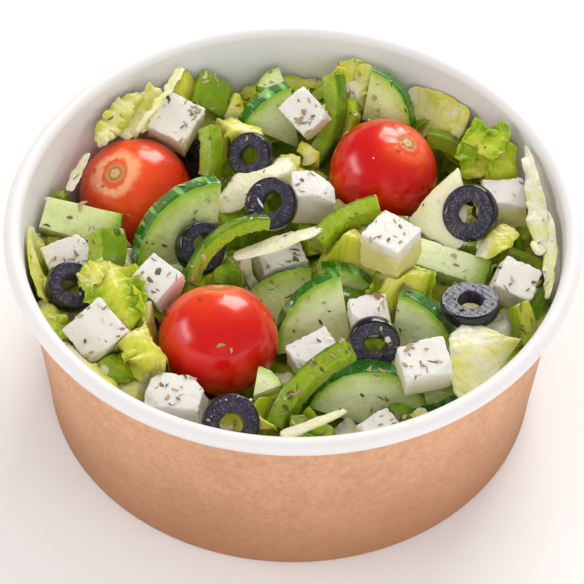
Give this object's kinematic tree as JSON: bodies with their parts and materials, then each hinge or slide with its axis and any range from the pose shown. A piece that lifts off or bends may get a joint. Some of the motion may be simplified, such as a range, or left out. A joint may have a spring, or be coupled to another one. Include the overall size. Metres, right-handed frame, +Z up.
{
  "type": "greek salad bowl",
  "caption": "Greek salad in a round kraft-paper bowl: lettuce heap with whole tomatoes, feta blocks, black olive rings, cucumber slices and green pepper strips",
  "frame": {"origin": "centre of the bowl's foot ring, on the surface it stands on", "axes": "+Z up along the bowl's axis; -Y is the side towards the viewer, +X to the right"},
  "size_m": [0.15, 0.15, 0.06],
  "materials": {
    "kraft_paper": "matte mottled kraft outside, smooth white inside and on the rolled rim",
    "white_paper": "smooth satin white",
    "tomato": "glossy red skin, orange round the stem",
    "feta": "soft moist white, fine pores",
    "olive": "glossy black skin, speckled purple-grey cut faces",
    "cucumber": "wet pale green flesh, dark striped rind",
    "pepper": "glossy green skin, paler wet flesh",
    "lettuce": "soft satin leaves, yellow-green to cream"
  },
  "bodies": {
    "root": {"bowl_base": "white_paper", "bowl_wall": "kraft_paper", "cucumber_back": "cucumber", "cucumber_back_right": "cucumber", "cucumber_band": "cucumber", "cucumber_behind": "cucumber", "cucumber_bit": "cucumber", "cucumber_centre": "cucumber", "cucumber_far_left": "cucumber", "cucumber_front": "cucumber", "cucumber_left": "cucumber", "cucumber_right": "cucumber", "cucumber_rind": "cucumber", "cucumber_tip": "cucumber", "cucumber_wedge": "cucumber", "feta_back": "feta", "feta_back_left": "feta", "feta_back_right": "feta", "feta_centre": "feta", "feta_centre_left": "feta", "feta_far_left": "feta", "feta_front": "feta", "feta_front_left": "feta", "feta_front_right": "feta", "feta_inner_right": "feta", "feta_left": "feta", "feta_middle": "feta", "feta_right": "feta", "feta_rim": "feta", "feta_slab": "feta", "feta_small": "feta", "olive_arch": "olive", "olive_back": "olive", "olive_back_right": "olive", "olive_centre": "olive", "olive_far_left": "olive", "olive_front": "olive", "olive_hidden": "olive", "olive_left": "olive", "olive_right": "olive", "pepper_arch": "pepper", "pepper_back": "pepper", "pepper_back_left": "pepper", "pepper_back_right": "pepper", "pepper_chunk": "pepper", "pepper_far_left": "pepper", "pepper_front": "pepper", "pepper_left": "pepper", "pepper_middle": "pepper", "pepper_ridged": "pepper", "pepper_right": "pepper", "pepper_rim": "pepper", "pepper_small": "pepper", "salad_bed": "lettuce", "tomato_front": "tomato", "tomato_left": "tomato", "tomato_right": "tomato"}
  },
  "joints": []
}
